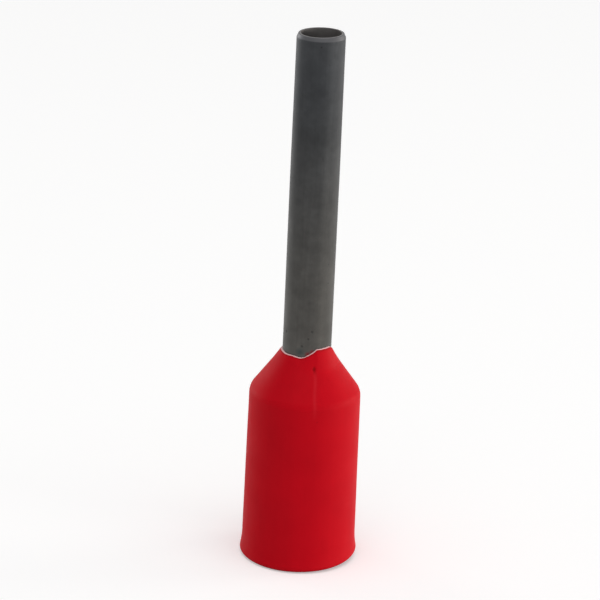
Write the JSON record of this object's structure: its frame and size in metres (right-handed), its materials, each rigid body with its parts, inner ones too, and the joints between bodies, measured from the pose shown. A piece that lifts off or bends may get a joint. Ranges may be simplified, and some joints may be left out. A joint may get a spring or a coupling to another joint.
{
  "type": "wire ferrule",
  "caption": "Insulated wire ferrule: a thin metal barrel crimps on stripped strands, and a wider plastic collar behind it takes the end of the insulation.",
  "frame": {"origin": "middle of the collar's mouth, on the plane that the ferrule stands on", "axes": "+Z along the ferrule's axis, from the mouth of the collar to the tip of the barrel; +X and +Y lie in the plane of the mouth"},
  "size_m": [0.004, 0.004, 0.018],
  "materials": {
    "tinned_copper": "satin",
    "red_plastic": "satin"
  },
  "bodies": {
    "root": {"barrel": "tinned_copper", "collar": "red_plastic"}
  },
  "joints": []
}
